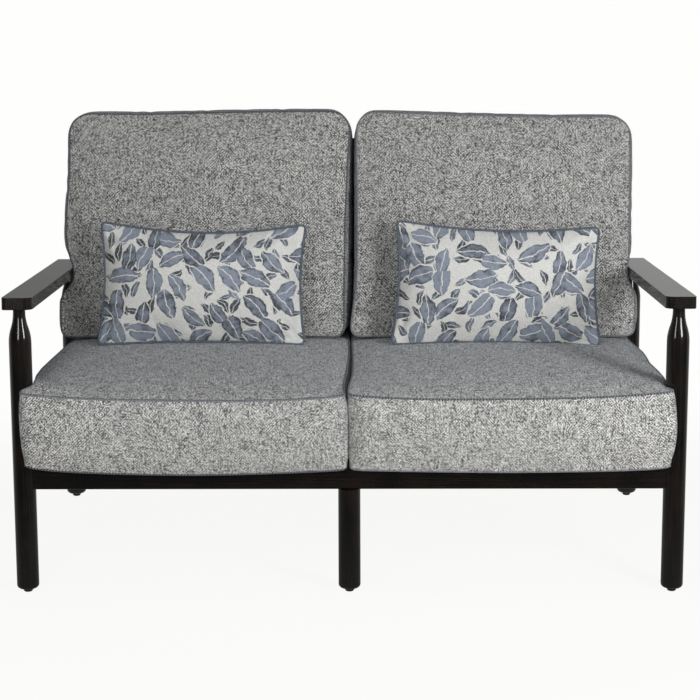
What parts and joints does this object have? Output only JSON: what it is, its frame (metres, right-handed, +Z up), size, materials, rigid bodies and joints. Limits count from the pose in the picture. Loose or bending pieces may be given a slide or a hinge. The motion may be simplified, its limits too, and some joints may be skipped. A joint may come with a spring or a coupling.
{
  "type": "patio loveseat",
  "caption": "Deep-seating patio loveseat with a dark tubular frame, flat sloping arms, boxed seat and back cushions and lumbar pillows",
  "frame": {"origin": "on the floor under the middle of the overall box", "axes": "+X along the width, to the right as seen from the front; the seat faces -Y; +Z is up"},
  "size_m": [1.406, 0.842, 0.9534],
  "materials": {
    "coated_aluminium": "satin",
    "bare_aluminium": "satin",
    "black_nylon": "matte",
    "zinc_steel": "satin",
    "cushion_fabric": "matte",
    "foam": "matte",
    "zip_nylon": "matte",
    "pillow_fabric": "matte"
  },
  "bodies": {
    "frame": {"front_leg_left": "coated_aluminium", "front_leg_middle": "coated_aluminium", "front_leg_right": "coated_aluminium", "rear_leg_left": "coated_aluminium", "rear_leg_middle": "coated_aluminium", "rear_leg_right": "coated_aluminium", "front_glide_left": "black_nylon", "front_glide_middle": "black_nylon", "front_glide_right": "black_nylon", "rear_glide_left": "black_nylon", "rear_glide_middle": "black_nylon", "rear_glide_right": "black_nylon", "arm_left": "coated_aluminium", "arm_right": "coated_aluminium", "arm_plug_left": "bare_aluminium", "arm_plug_right": "bare_aluminium", "arm_studs": "zinc_steel", "arm_bolts": "zinc_steel", "front_rail": "coated_aluminium", "side_rail_left": "coated_aluminium", "side_rail_right": "coated_aluminium", "centre_rail": "coated_aluminium", "centre_rail_cap": "black_nylon", "rear_rail_left": "coated_aluminium", "rear_rail_right": "coated_aluminium", "seat_slat_left_1": "coated_aluminium", "seat_slat_left_2": "coated_aluminium", "seat_slat_left_3": "coated_aluminium", "seat_slat_left_4": "coated_aluminium", "seat_slat_right_1": "coated_aluminium", "seat_slat_right_2": "coated_aluminium", "seat_slat_right_3": "coated_aluminium", "seat_slat_right_4": "coated_aluminium", "back_stile_left": "coated_aluminium", "back_stile_centre": "coated_aluminium", "back_stile_right": "coated_aluminium", "back_top_rail": "coated_aluminium", "back_lower_rail_left": "coated_aluminium", "back_lower_rail_right": "coated_aluminium", "back_slat_left_1": "coated_aluminium", "back_slat_left_2": "coated_aluminium", "back_slat_right_1": "coated_aluminium", "back_slat_right_2": "coated_aluminium", "stile_plugs": "bare_aluminium", "stile_bolts": "zinc_steel", "back_rail_caps": "black_nylon"},
    "seat_cushion_left": {"seat_cushion_cover_left": "cushion_fabric", "seat_cushion_core_left": "foam", "seat_cushion_zip_left": "zip_nylon"},
    "back_cushion_left": {"back_cushion_cover_left": "cushion_fabric", "back_cushion_core_left": "foam", "back_cushion_zip_left": "zip_nylon"},
    "lumbar_pillow_left": {"lumbar_pillow_left": "pillow_fabric"},
    "seat_cushion_right": {"seat_cushion_cover_right": "cushion_fabric", "seat_cushion_core_right": "foam", "seat_cushion_zip_right": "zip_nylon"},
    "back_cushion_right": {"back_cushion_cover_right": "cushion_fabric", "back_cushion_core_right": "foam", "back_cushion_zip_right": "zip_nylon"},
    "lumbar_pillow_right": {"lumbar_pillow_right": "pillow_fabric"}
  },
  "joints": [
    {"name": "seat_cushion_left_lift", "type": "slide", "parent": "frame", "child": "seat_cushion_left", "axis": [0, 0, 1], "range_m": [0, 0.1]},
    {"name": "back_cushion_left_lift", "type": "slide", "parent": "seat_cushion_left", "child": "back_cushion_left", "axis": [0, 0.2079, 0.9781], "range_m": [0, 0.25]},
    {"name": "lumbar_pillow_left_lift", "type": "slide", "parent": "back_cushion_left", "child": "lumbar_pillow_left", "axis": [0, -0.7071, 0.7071], "range_m": [0, 0.2]},
    {"name": "seat_cushion_right_lift", "type": "slide", "parent": "frame", "child": "seat_cushion_right", "axis": [0, 0, 1], "range_m": [0, 0.1]},
    {"name": "back_cushion_right_lift", "type": "slide", "parent": "seat_cushion_right", "child": "back_cushion_right", "axis": [0, 0.2079, 0.9781], "range_m": [0, 0.25]},
    {"name": "lumbar_pillow_right_lift", "type": "slide", "parent": "back_cushion_right", "child": "lumbar_pillow_right", "axis": [0, -0.7071, 0.7071], "range_m": [0, 0.2]}
  ]
}
